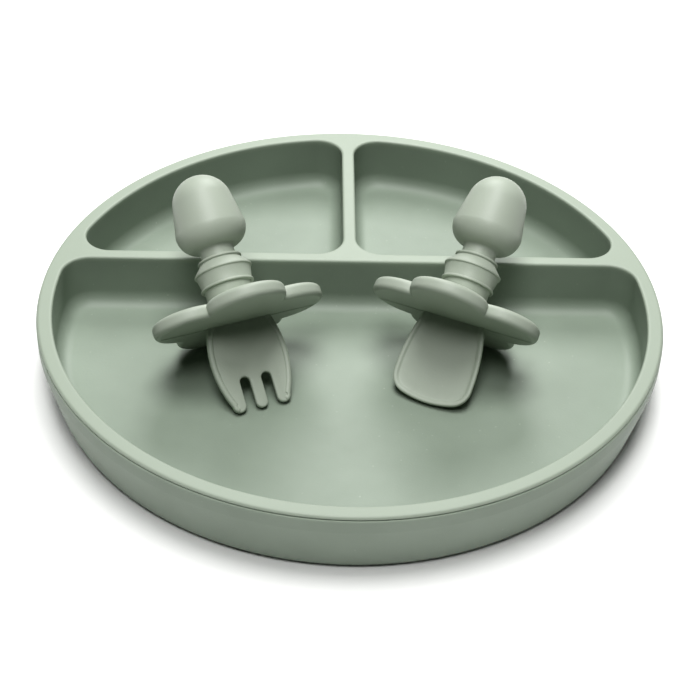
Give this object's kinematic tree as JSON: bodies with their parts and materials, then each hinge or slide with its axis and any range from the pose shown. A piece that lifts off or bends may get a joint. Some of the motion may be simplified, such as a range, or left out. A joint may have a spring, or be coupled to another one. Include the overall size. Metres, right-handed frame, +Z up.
{
  "type": "suction plate with fork and spoon",
  "caption": "Round silicone baby plate with divided wells on suction cups, with a short fork and a short spoon, each with a petal guard and a bulb grip.",
  "frame": {"origin": "on the table, under the middle of the plate", "axes": "+Z up; -Y towards the large front well; +X to the spoon's side"},
  "size_m": [0.19, 0.19, 0.0552],
  "materials": {
    "plate_silicone": "satin matte silicone",
    "cup_silicone": "smooth silicone",
    "utensil_silicone": "satin matte silicone",
    "core_plastic": "plain nylon"
  },
  "bodies": {
    "plate": {"plate_body": "plate_silicone"},
    "front_left_cup_body": {"front_left_cup": "cup_silicone"},
    "front_right_cup_body": {"front_right_cup": "cup_silicone"},
    "rear_left_cup_body": {"rear_left_cup": "cup_silicone"},
    "rear_right_cup_body": {"rear_right_cup": "cup_silicone"},
    "fork": {"fork_head": "utensil_silicone", "fork_guard": "utensil_silicone", "fork_collar": "utensil_silicone", "fork_grip": "utensil_silicone", "fork_core": "core_plastic"},
    "spoon": {"spoon_head": "utensil_silicone", "spoon_guard": "utensil_silicone", "spoon_collar": "utensil_silicone", "spoon_grip": "utensil_silicone", "spoon_core": "core_plastic"}
  },
  "joints": [
    {"name": "fork_lift", "type": "slide", "parent": "plate", "child": "fork", "axis": [0, 0, 1], "range_m": [0, 0.12]},
    {"name": "spoon_lift", "type": "slide", "parent": "plate", "child": "spoon", "axis": [0, 0, 1], "range_m": [0, 0.12]},
    {"name": "front_left_press", "type": "slide", "parent": "plate", "child": "front_left_cup_body", "axis": [0, 0, 1], "range_m": [0, 0.0012], "stiffness_N_per_m": 2500, "deforming": ["front_left_cup"]},
    {"name": "front_right_press", "type": "slide", "parent": "plate", "child": "front_right_cup_body", "axis": [0, 0, 1], "range_m": [0, 0.0012], "stiffness_N_per_m": 2500, "deforming": ["front_right_cup"]},
    {"name": "rear_left_press", "type": "slide", "parent": "plate", "child": "rear_left_cup_body", "axis": [0, 0, 1], "range_m": [0, 0.0012], "stiffness_N_per_m": 2500, "deforming": ["rear_left_cup"]},
    {"name": "rear_right_press", "type": "slide", "parent": "plate", "child": "rear_right_cup_body", "axis": [0, 0, 1], "range_m": [0, 0.0012], "stiffness_N_per_m": 2500, "deforming": ["rear_right_cup"]}
  ]
}
